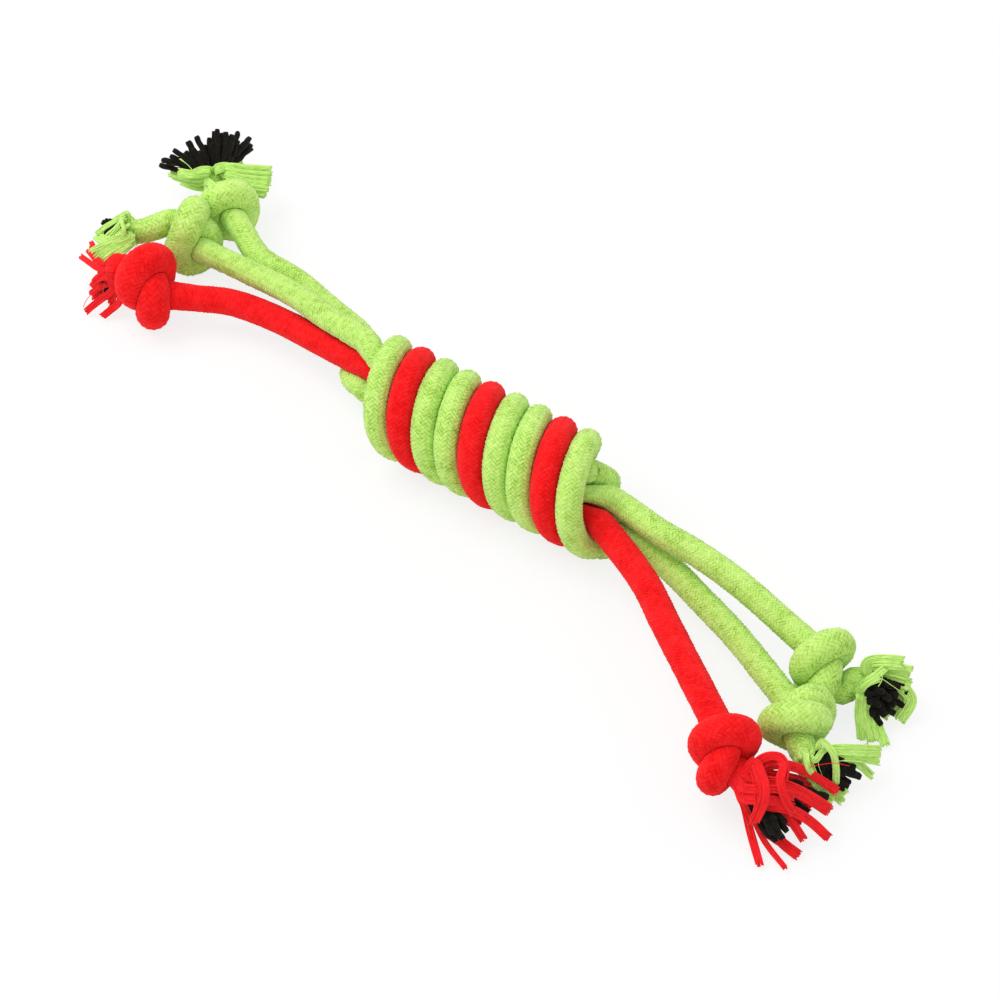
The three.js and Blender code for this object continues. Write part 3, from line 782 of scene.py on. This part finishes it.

# The places in the next two tables were read off the photo: pixels across and down, and a
# guessed height in mm. A strand: degrees round the sleeve's rim from its top, its width in mm, or
# its widths near the rim and at its tip, and the places that it passes.
frayedStrands = {
    "green_rope_a_left": [
        (350, 2, [(126, 215, 24), (115, 221, 24), (104, 228, 22), (97, 234, 20)]),
        (10, 1.4, 1.3, [(124, 219, 25), (114, 229, 24), (106, 236, 22), (102, 243, 20)]),
        (330, 1.6, 1.5, [(128, 225, 24), (119, 233, 24), (112, 240, 22), (106, 248, 20)]),
        (340, 1.1, 1, [(122, 218, 25), (119, 226, 25), (112, 234, 24), (104, 242, 22)]),
        (0, 1.3, 1.2, [(121, 218, 25), (123, 227, 26), (124, 235, 24), (120, 243, 21)]),
        (270, 4.5, [(130, 238, 21), (118, 245, 22), (106, 252, 21), (97, 260, 18)]),
        (285, 4, [(129, 236, 22), (114, 242, 23), (102, 247, 21), (93, 254, 17)]),
        (300, 3.5, 4, [(126, 236, 23), (111, 241, 23), (101, 239, 20), (96, 235, 18)]),
        (250, 3, 2.5, [(132, 242, 19), (121, 250, 22), (111, 257, 21), (103, 263, 18)]),
        (235, 2, 1.5, [(134, 243, 17), (124, 252, 21), (115, 260, 21), (110, 264, 18)]),
        (310, 3, [(120, 240, 23), (106, 245, 22), (95, 250, 19), (90, 253, 16)]),
        (20, 2, [(128, 213, 22), (119, 217, 20), (108, 224, 16), (100, 231, 12)]),
        (90, 4, [(126, 218, 16), (114, 224, 13), (102, 234, 8)]),
        (180, 4, [(124, 232, 10), (112, 240, 7), (102, 250, 4)]),
    ],
    "red_rope_left": [
        (20, 2.4, 2.2, [(107, 270, 21), (98, 268, 20), (90, 263, 19), (80, 256, 17)]),
        (50, 2.6, 1.6, [(104, 264, 18), (97, 254, 17), (91, 242, 16)]),
        (40, 3, [(105, 266, 20), (99, 262, 19), (92, 254, 17), (88, 249, 16)]),
        (330, 2.6, 2.4, [(108, 277, 19), (101, 278, 18), (96, 281, 16), (91, 287, 13)]),
        (345, 2, [(106, 272, 20), (100, 275, 19), (95, 279, 17), (93, 283, 15)]),
        (310, 2.6, 2.4, [(111, 283, 15), (104, 285, 13), (97, 289, 10), (90, 294, 7)]),
        (305, 2.4, [(112, 286, 13), (105, 289, 10), (99, 294, 7), (93, 300, 4)]),
        (290, 2.8, 2.6, [(113, 288, 14), (102, 299, 8), (94, 305, 5), (86, 312, 2)]),
        (260, 2.8, 2.6, [(121, 294, 12), (119, 303, 8), (111, 310, 4), (102, 317, 2)]),
        (275, 4, 3, [(115, 290, 13), (112, 298, 8), (111, 305, 4)]),
        (240, 4, [(112, 284, 8), (106, 292, 5), (103, 298, 2)]),
        (120, 4, [(105, 276, 12), (99, 284, 8), (97, 292, 4)]),
    ],
    "green_rope_b_left": [
        (300, 4, [(200, 178, 15), (186, 176, 13), (170, 172, 12)]),
        (285, 4, [(202, 182, 12), (190, 181, 11), (174, 175, 11)]),
        (270, 4, 3.5, [(206, 186, 10), (196, 186, 10), (182, 181, 10)]),
        (320, 3.5, [(203, 174, 19), (190, 174, 18), (178, 172, 17)]),
        (340, 3, [(210, 170, 23), (202, 170, 23), (194, 173, 21)]),
        (0, 4, [(217, 169, 24), (225, 167, 23), (236, 170, 20)]),
        (20, 5, 6, [(228, 169, 23), (246, 171, 21), (272, 173, 18)]),
        (40, 5, 6, [(228, 173, 22), (248, 177, 20), (271, 179, 18)]),
        (60, 5, 6, [(230, 178, 20), (248, 182, 19), (269, 185, 17)]),
        (80, 5, [(230, 182, 18), (246, 187, 17), (267, 191, 15)]),
        (100, 4, [(230, 184, 13), (246, 190, 12), (266, 194, 10)]),
        (250, 3, 2.5, [(207, 180, 19), (215, 187, 24), (231, 199, 24)]),
        (310, 0.5, [(208, 175, 22), (196, 174, 24), (188, 165, 27), (178, 158, 28)]),
        (315, 0.5, [(208, 176, 22), (197, 174, 25), (189, 166, 28), (180, 158, 29)]),
        (200, 3, [(212, 186, 16), (222, 189, 24), (238, 193, 23)]),
        (160, 4, [(222, 172, 8), (230, 165, 8), (242, 160, 8)]),
        (220, 4, [(206, 172, 8), (200, 165, 8), (190, 160, 8)]),
    ],
    "green_rope_a_right": [
        (0, 4.5, 5, [(868, 664, 19), (885, 661, 22), (904, 663, 22)]),
        (330, 3.5, 2, [(872, 668, 18), (890, 666, 21), (913, 669, 20)]),
        (300, 3, [(875, 672, 15), (892, 672, 18), (909, 677, 17)]),
        (285, 3.5, 4, [(878, 676, 13), (895, 680, 15), (911, 685, 14)]),
        (270, 4, 4.5, [(880, 680, 11), (900, 686, 12), (911, 700, 8), (899, 721, 3)]),
        (250, 4, [(885, 690, 8), (900, 700, 7), (893, 716, 3)]),
        (60, 4, 5, [(862, 694, 14), (861, 712, 8), (864, 740, 2)]),
        (85, 4, 5, [(864, 700, 11), (868, 720, 6), (874, 742, 2)]),
        (100, 3.4, [(868, 702, 9), (876, 722, 5), (886, 746, 2)]),
        (30, 2.5, [(864, 684, 18), (872, 678, 20), (885, 668, 21)]),
        (45, 2.2, 2, [(860, 690, 16), (868, 684, 19), (880, 679, 20)]),
        (15, 0.5, [(880, 678, 20), (890, 684, 20), (900, 691, 18)]),
        (10, 0.5, [(880, 672, 21), (882, 680, 22), (878, 687, 20)]),
        (150, 4, [(866, 700, 7), (878, 708, 4), (890, 716, 2)]),
        (200, 4, [(872, 700, 6), (884, 706, 4), (897, 712, 2)]),
    ],
    "green_rope_b_right": [
        (285, 3.5, 4, [(834, 750, 18), (855, 750, 17), (881, 751, 12)]),
        (270, 4, 5, [(836, 755, 16), (855, 755, 15), (880, 759, 10)]),
        (250, 3, 2.8, [(840, 760, 12), (858, 764, 9), (873, 777, 4)]),
        (325, 2.2, [(822, 742, 23), (832, 752, 21), (836, 768, 15), (836, 784, 8)]),
        (340, 0.5, [(824, 744, 23), (819, 754, 20), (818, 764, 16), (822, 776, 11)]),
        (350, 2, [(808, 754, 19), (815, 760, 19), (822, 752, 20), (829, 747, 19)]),
        (20, 2, [(806, 758, 20), (808, 768, 18), (814, 776, 13)]),
        (90, 3, [(801, 768, 13), (812, 784, 8), (832, 802, 3)]),
        (60, 4, 3.5, [(802, 762, 16), (810, 778, 11), (822, 790, 7)]),
        (30, 4, 3.5, [(806, 758, 18), (811, 772, 14), (818, 784, 10)]),
        (180, 3, [(822, 782, 5), (832, 792, 3), (843, 802, 2)]),
        (220, 3, [(828, 778, 6), (840, 788, 4), (846, 794, 2)]),
        (120, 3, [(812, 782, 6), (822, 792, 3), (834, 798, 2)]),
    ],
    "red_rope_right": [
        (10, 4, 3.6, [(753, 762, 25), (760, 774, 26), (764, 790, 25), (762, 804, 21), (754, 822, 14)]),
        (25, 1.8, 1.4, [(750, 768, 23), (756, 786, 24), (757, 804, 20), (751, 824, 12)]),
        (350, 3, [(760, 760, 25), (770, 756, 27), (781, 758, 27), (785, 768, 25), (782, 784, 21)]),
        (340, 2.6, [(774, 761, 25), (783, 765, 27), (780, 779, 26), (784, 796, 22), (793, 814, 15)]),
        (50, 2.8, [(744, 788, 22), (760, 789, 24), (776, 789, 23), (795, 797, 17)]),
        (65, 3.2, [(742, 797, 19), (758, 800, 21), (775, 801, 19), (793, 808, 14)]),
        (330, 3.6, 3.2, [(778, 764, 21), (800, 769, 18), (820, 780, 12), (838, 792, 7)]),
        (40, 4, 4.6, [(762, 781, 22), (785, 786, 21), (808, 797, 15), (830, 811, 7)]),
        (55, 3.6, 3.2, [(762, 804, 17), (788, 809, 16), (810, 821, 10), (829, 838, 4)]),
        (70, 3.2, 3, [(766, 804, 15), (788, 818, 11), (804, 840, 4)]),
        (85, 2.4, 3.6, [(762, 812, 9), (778, 838, 5), (799, 856, 2)]),
        (95, 2, 1.8, [(750, 812, 10), (765, 842, 5), (786, 869, 2)]),
        (100, 2.4, 2.6, [(743, 803, 11), (750, 830, 6), (760, 866, 2)]),
        (310, 4, [(770, 775, 16), (795, 780, 12), (815, 788, 8)]),
        (130, 4, [(748, 806, 7), (762, 826, 3), (780, 840, 2)]),
        (180, 4, [(760, 805, 5), (780, 815, 3), (800, 826, 2)]),
        (230, 4, [(770, 795, 6), (790, 800, 4), (812, 806, 3)]),
        (275, 4, [(770, 780, 12), (790, 785, 8), (810, 793, 6)]),
        (335, 0.5, [(800, 769, 16), (818, 765, 21), (834, 763, 21), (850, 766, 17)]),
    ],
}

fray = {
    "threadAcross": 0.0006,
    "threadStep": 0.00025,
    "threadSides": 6,
    "singleBelow": 0.0008,  # a narrower strand is one thin thread
    "layer": 0.0003,
    "rootDepth": 0.002,
    "rootInside": 0.0006,
    "rootAcross": 0.0032,
    "leadAhead": 0.001,
    "leadOut": 0.0003,
    "slices": 26,
    "lineStep": 0.0003,
    "spreadShare": 0.3,
    "bowRadius": 0.01,
    "turnRate": 2.5,
    "openRate": 3.0,
    "thickness": (0.85, 1.15),
    "rootTaper": 0.7,
    "ragged": 0.0008,
    "raggedRange": (-1, 0.4),
    "raggedShare": 0.2,
    "drift": 0.00022,
    "waves": (3, 8),
    "strays": 3,
    "strayAcross": 0.0003,
    "straySlices": 20,
    "straySides": 5,
    "strayCurl": 0.0025,
    "strayTurn": 25,
    "strayLead": (0.004, 0.003, 0.002),  # ahead, out, and out again farther on
    "floor": 0.0004,
}
viewSide = Vector((0.3, -0.5, 0.8)).normalized()
yarnSide = np.array((0.31, 0.52, 0.79))  # along no yarn, so it can start their frames
photoSide = 1000
mm = 0.001


def placeOf(spot):
    across, down, height = spot
    camera = bpy.context.scene.camera
    pixel, middle = camera.data.sensor_width / photoSide, photoSide / 2
    sight = Vector(((across - middle) * pixel, (middle - down) * pixel, -camera.data.lens))
    sight.rotate(camera.rotation_euler)
    return camera.location + sight * ((height * mm - camera.location.z) / sight.z)


def evenPath(points, count):
    line, reached, _ = curveThrough(points, fray["lineStep"])
    places = np.linspace(0, reached[-1], count)
    path = pointsAt(places, reached, line)
    return path, waysAlong(path), places


def endOf(me, side):
    mine = rows[me]
    at, sign = (0, -1) if side == "left" else (-1, 1)
    along = Vector(mine["aheads"][at]) * sign
    across = -Vector((0, 0, 1)).cross(along).normalized()
    return Vector(mine["middles"][at]), along, -along.cross(across), across


def newMesh():
    return {"points": [], "faces": [], "uvs": [], "count": 0}


def addTube(mesh, middles, ones, twos, outline, places, draw):
    lane = 1.7 * draw.randint(0, 40)  # so that no two threads show the same fibres
    count, corners = outline.shape[:2]
    points = middles[:, None] + ones[:, None] * outline[..., :1] + twos[:, None] * outline[..., 1:]
    points[..., 2] = np.maximum(points[..., 2], fray["floor"])
    grid = mesh["count"] + np.arange(count * corners).reshape(count, corners)
    mesh["count"] += count * corners
    mesh["points"].append(points.reshape(-1, 3))
    after = np.roll(grid, -1, axis=1)
    quads = np.stack([grid[:-1], after[:-1], after[1:], grid[1:]], axis=-1)
    mesh["faces"] += quads.reshape(-1, 4).tolist() + [grid[0][::-1].tolist(), grid[-1].tolist()]
    u, v = np.meshgrid(lane + np.arange(corners + 1) / corners, np.asarray(places) / mm)
    lay = np.stack([u, v], axis=-1)
    sides = np.stack([lay[:-1, :-1], lay[:-1, 1:], lay[1:, 1:], lay[1:, :-1]], axis=2)
    mesh["uvs"].append(np.concatenate([sides.reshape(-1, 2), lay[0, :-1][::-1], lay[-1, :-1]]))


def circle(corners, radii):
    turns = np.arange(corners) * 2 * math.pi / corners
    return np.asarray(radii)[:, None, None] * np.stack([np.cos(turns), np.sin(turns)], axis=-1)


# A strand leaves the rim lying round the sleeve, and then turns its flat side to the viewer
def addStrand(mesh, root, along, out, strand, draw):
    turn, *widths, stops = strand
    wide, narrow = widths[0] * mm, widths[-1] * mm
    lead = root + along * (fray["rootDepth"] + fray["leadAhead"]) + out * fray["leadOut"]
    path, aheads, places = evenPath([root, lead] + [placeOf(stop) for stop in stops], fray["slices"])
    t = np.linspace(0, 1, len(path))[:, None]
    ease = smooth(np.minimum(1, t * fray["turnRate"]))
    facing = np.array(out) * (1 - ease) + np.array(viewSide) * ease
    facing -= aheads * (facing * aheads).sum(axis=1)[:, None]
    facing /= np.linalg.norm(facing, axis=1)[:, None]
    sides = np.cross(aheads, facing)
    opening = np.minimum(1, t * fray["openRate"])
    width = min(fray["rootAcross"], wide) * (1 - opening) + (wide + (narrow - wide) * t) * opening
    single = wide <= fray["singleBelow"]
    threads = 1 if single else round(max(wide, narrow) / fray["threadStep"])
    across = fray["strayAcross"] if single else fray["threadAcross"]
    late = np.clip((t - 1) / fray["raggedShare"] + 1, 0, 1)
    for thread in range(threads):
        q = (thread + 0.5 + draw.uniform(-1, 1) * fray["spreadShare"]) / threads - 0.5
        layer = draw.uniform(-1, 1) * fray["layer"] * (not single)
        swing, rate = draw.uniform(0, 6), draw.uniform(*fray["waves"])
        drift = fray["drift"] * np.sin(swing + rate * t) * t * (1.2 - 0.8 * t) * (not single)
        lift = layer + 0.5 * fray["drift"] * np.sin(2 * swing + rate * t) * t
        off = width * q + drift
        bow = -off * off / fray["bowRadius"] * (1 - ease)
        cut = draw.uniform(*fray["raggedRange"]) * fray["ragged"] * late ** 2
        middles = path + sides * off + facing * (bow + lift) + aheads * cut
        radii = np.full(len(path), across / 2 * draw.uniform(*fray["thickness"]))
        radii[0] *= fray["rootTaper"]
        addTube(mesh, middles, facing, sides, circle(fray["threadSides"], radii), places, draw)


def addStray(mesh, root, along, out, tip, draw):
    ahead, near, far = fray["strayLead"]
    reach = root + along * ahead + out * near
    curl = [Vector([draw.uniform(-1, 1) * fray["strayCurl"] for _ in range(3)]) for _ in range(3)]
    stops = [root, reach, reach.lerp(tip, 0.4) + out * far + curl[0],
             reach.lerp(tip, 0.75) + curl[1], tip + curl[2]]
    path, aheads, places = evenPath(stops, fray["straySlices"])
    ones, twos = framesAlong(aheads, yarnSide)
    radii = np.full(len(path), fray["strayAcross"] / 2)
    addTube(mesh, path, ones, twos, circle(fray["straySides"], radii), places, draw)


def linkStrands(name, mesh):
    return linkMesh(name, np.concatenate(mesh["points"]), mesh["faces"], np.concatenate(mesh["uvs"]))


def frayStrands(name, me, side):
    middle, along, up, across = endOf(me, side)
    draw, mesh, strands = random.Random(name), newMesh(), frayedStrands[name]

    def rootAt(turn):
        out = up * math.cos(turn) + across * math.sin(turn)
        rim = ropes[me]["across"] / 2 - fray["rootInside"]
        return middle - along * fray["rootDepth"] + out * rim, out

    for strand in strands:
        root, out = rootAt(math.radians(strand[0]))
        addStrand(mesh, root, along, out, strand, draw)
    for _ in range(fray["strays"]):
        turn, *_, stops = draw.choice(strands)
        root, out = rootAt(math.radians(turn + draw.uniform(-1, 1) * fray["strayTurn"]))
        addStray(mesh, root, along, out, placeOf(stops[-1]), draw)
    return linkStrands(f"{name}_fray_strands", mesh)


# The places of the core yarns' tips
coreTips = {
    "green_rope_a_left": [
        (102, 222, 22), (105, 220, 23), (108, 221, 22), (104, 232, 19), (108, 231, 20), (111, 238, 19),
        (116, 238, 20), (120, 240, 18), (107, 228, 19), (109, 236, 17), (113, 232, 16),
    ],
    "red_rope_left": [
        (100, 275, 17), (99, 273, 16), (103, 279, 14), (107, 285, 12), (103, 294, 8), (105, 292, 9),
        (101, 283, 12), (108, 288, 10), (100, 278, 16), (98, 280, 14),
    ],
    "green_rope_b_left": [
        (160, 165, 14), (162, 160, 18), (170, 156, 22), (173, 150, 26), (180, 156, 22), (188, 141, 28),
        (196, 136, 30), (192, 148, 26), (200, 150, 27), (209, 138, 26), (214, 131, 29), (217, 129, 30),
        (222, 133, 27), (226, 132, 28), (228, 140, 24), (232, 135, 26), (238, 132, 22), (238, 141, 20),
        (250, 138, 18), (251, 145, 14), (252, 149, 10), (205, 145, 24), (218, 142, 24), (185, 152, 20),
        (210, 150, 20), (232, 146, 18),
    ],
    "green_rope_a_right": [
        (882, 725, 5), (873, 716, 9), (895, 714, 6), (904, 706, 7), (908, 693, 10), (905, 684, 14),
        (888, 684, 17), (872, 700, 14), (880, 706, 13), (890, 700, 14), (898, 696, 13), (886, 716, 8),
        (895, 706, 10), (876, 690, 16), (900, 688, 15), (870, 704, 13), (878, 720, 7), (870, 694, 16),
        (874, 680, 18), (884, 692, 17), (892, 712, 8), (884, 710, 10),
    ],
    "green_rope_b_right": [
        (860, 777, 5), (850, 783, 3), (855, 768, 9), (845, 775, 8), (838, 770, 12), (828, 778, 9),
        (822, 772, 12), (844, 790, 3), (848, 787, 4), (835, 760, 16), (845, 760, 14), (852, 772, 7),
        (826, 766, 14), (820, 780, 8), (830, 756, 17), (824, 758, 17), (840, 782, 6), (856, 774, 7),
    ],
    "red_rope_right": [
        (770, 838, 9), (776, 842, 8), (783, 839, 9), (787, 832, 10), (786, 824, 12), (778, 830, 13),
        (770, 828, 13), (773, 834, 12), (780, 836, 11), (767, 822, 14), (775, 820, 15), (783, 820, 13),
        (803, 785, 13), (812, 790, 10), (806, 789, 12), (802, 807, 10), (809, 812, 8), (828, 797, 6),
    ],
}

core = {
    "across": 0.0026,
    "fill": 0.8,  # so many more yarns between the named ones
    "fillBetween": (0.2, 0.8),
    "fillReach": (0.7, 0.95),
    "ply": 0.006,  # how far a yarn runs while its three plies turn once
    "plyShare": 0.13,
    "rootDepth": 0.002,
    "rootAcross": 0.003,
    "rootShare": 0.35,
    "splay": 1.2,
    "lead": 0.002,
    "bulge": 0.0011,
    "bulgeShare": 0.55,
    "thickness": (0.8, 1.1),
    "rootTaper": (0.7, 0.8, 0.9, 0.95),
    "tipTaper": 0.8,
    "slices": 22,
    "sides": 15,
}


def addYarn(mesh, middle, along, tip, draw):
    off = tip - middle
    off -= along * off.dot(along)
    off *= min(core["rootShare"], core["rootAcross"] / max(off.length, 1e-6))
    root = middle - along * core["rootDepth"] + off
    lead = middle + along * core["lead"] + off * core["splay"]
    bulge = Vector([draw.uniform(-1, 1) for _ in range(3)]) * core["bulge"]
    bend = lead.lerp(tip, core["bulgeShare"]) + bulge
    path, aheads, places = evenPath([root, lead, bend, tip], core["slices"])
    ones, twos = framesAlong(aheads, yarnSide)
    turns = np.arange(core["sides"]) * 2 * math.pi / core["sides"]
    twist = draw.uniform(0, 6) - 2 * math.pi * places[:, None] / core["ply"]
    lobes = 1 + core["plyShare"] * np.cos(3 * turns + twist)
    radii = np.full(len(path), core["across"] / 2 * draw.uniform(*core["thickness"]))
    radii[:len(core["rootTaper"])] *= core["rootTaper"]
    radii[-1] *= core["tipTaper"]
    outline = circle(core["sides"], radii) * lobes[..., None]
    addTube(mesh, path, ones, twos, outline, places, draw)


def coreYarns(name, me, side):
    middle, along = endOf(me, side)[:2]
    draw, mesh = random.Random(name + " core"), newMesh()
    tips = [placeOf(tip) for tip in coreTips[name]]
    for _ in range(round(len(tips) * core["fill"])):
        between = draw.choice(tips).lerp(draw.choice(tips), draw.uniform(*core["fillBetween"]))
        tips.append(middle.lerp(between, draw.uniform(*core["fillReach"])))
    for tip in tips:
        addYarn(mesh, middle, along, tip, draw)
    return linkStrands(f"{name}_core_yarns", mesh)


# Loose spun yarn, dyed in the same colours: matt, with fine fibres lying along each thread. The
# black is cotton yarn, so dark that only the edges of its plies catch the light.
looseYarn = {
    "green_rope": {"name": "greenLooseYarn", "lit": "d2f88c", "deep": "93c245"},
    "red_rope": {"name": "redLooseYarn", "lit": "fd262b", "deep": "cc0810"},
    "black_yarn": {"name": "blackCottonYarn", "lit": "1b1812", "deep": "030302",
                   "bump": 0.0003, "fuzz": 0.04},
}
looseLook = {
    "stretch": (2.0, 0.3, 1.0),  # fibres: half a turn wide, and 3.3 mm long
    "stops": {"deep": 0.25, "lit": 0.6},
    "bump": 0.00012,
    "bumpStrength": 0.9,
    "fuzz": 0.1,
    "rough": 0.9,
    "shine": 0.15,
}


def looseMaterial(spec):
    material, tree = newMaterial(spec["name"])
    lay = addNode(tree, "UVMap", {"uv_map": "lay"})
    stretched = addNode(tree, "Mapping", None, {"Vector": lay, "Scale": looseLook["stretch"]})
    fibres = addNode(tree, "TexNoise", None, {
        "Vector": stretched, "Scale": 1.0, "Detail": 3.0, "Roughness": 0.65})
    finishYarn(tree, fibres, fibres, {**looseLook, **spec})
    return material


looseMaterials = {slot: looseMaterial(spec) for slot, spec in looseYarn.items()}
for me, rope in enumerate(ropes):
    for side in ("left", "right"):
        name = f"{rope['name']}_{side}"
        dress(frayStrands(name, me, side), looseMaterials[rope["slot"]], rope["slot"], f"{name}_fray")
        dress(coreYarns(name, me, side), looseMaterials["black_yarn"], "black_yarn", f"{name}_core")
print("ends frayed")

studio = {
    "floorSize": 6.0,
    "world": 0.85,
    "glow": 0.8,
    "lamp": {"at": (-0.9, -0.2, 1.6), "size": 1.4, "power": 16.0},
}


def seenWhite(tree):
    path = addNode(tree, "LightPath")
    seen = path.outputs["Is Camera Ray"]
    for ray in ("Is Glossy Ray", "Is Transmission Ray"):
        seen = addNode(tree, "Math", "MAXIMUM", (seen, path.outputs[ray]))
    return seen


def setStudio():
    world = bpy.data.worlds.new("studio")
    bpy.context.scene.world = world
    world.use_nodes = True
    tree = world.node_tree
    tree.nodes.clear()
    strength = addNode(tree, "Mix", {"data_type": "FLOAT"},
                       {0: seenWhite(tree), 2: studio["world"], 3: 1.0})
    background = addNode(tree, "Background", None, ((1.0, 1.0, 1.0, 1.0), strength))
    addNode(tree, "OutputWorld", None, (background,))

    bpy.ops.object.select_all(action="DESELECT")
    bpy.ops.mesh.primitive_plane_add(size=studio["floorSize"], location=(0, 0, 0))
    floor = bpy.context.object
    floor.name = "floor"
    # a white paper sweep: matt, seen as pure white but for the toy's faint shadow
    material, tree = newMaterial("whitePaperSweep")
    diffuse = addNode(tree, "BsdfDiffuse", None, ((0.9, 0.9, 0.9, 1.0),))
    glow = addNode(tree, "Emission", None, ((1.0, 1.0, 1.0, 1.0), 1.0))
    share = addNode(tree, "Math", "MULTIPLY", (seenWhite(tree), studio["glow"]))
    mix = addNode(tree, "MixShader", None, (share, diffuse, glow))
    addNode(tree, "OutputMaterial", None, (mix,))
    floor.data.materials.append(material)

    lamp = studio["lamp"]
    light = bpy.data.lights.new("key", "AREA")
    light.shape = "DISK"
    light.size = lamp["size"]
    light.energy = lamp["power"]
    holder = bpy.data.objects.new("key", light)
    holder.location = lamp["at"]
    holder.rotation_euler = (-Vector(lamp["at"])).to_track_quat("-Z", "Y").to_euler()
    bpy.context.scene.collection.objects.link(holder)
    bpy.context.scene.view_settings.view_transform = "Standard"


setStudio()
print("studio set")
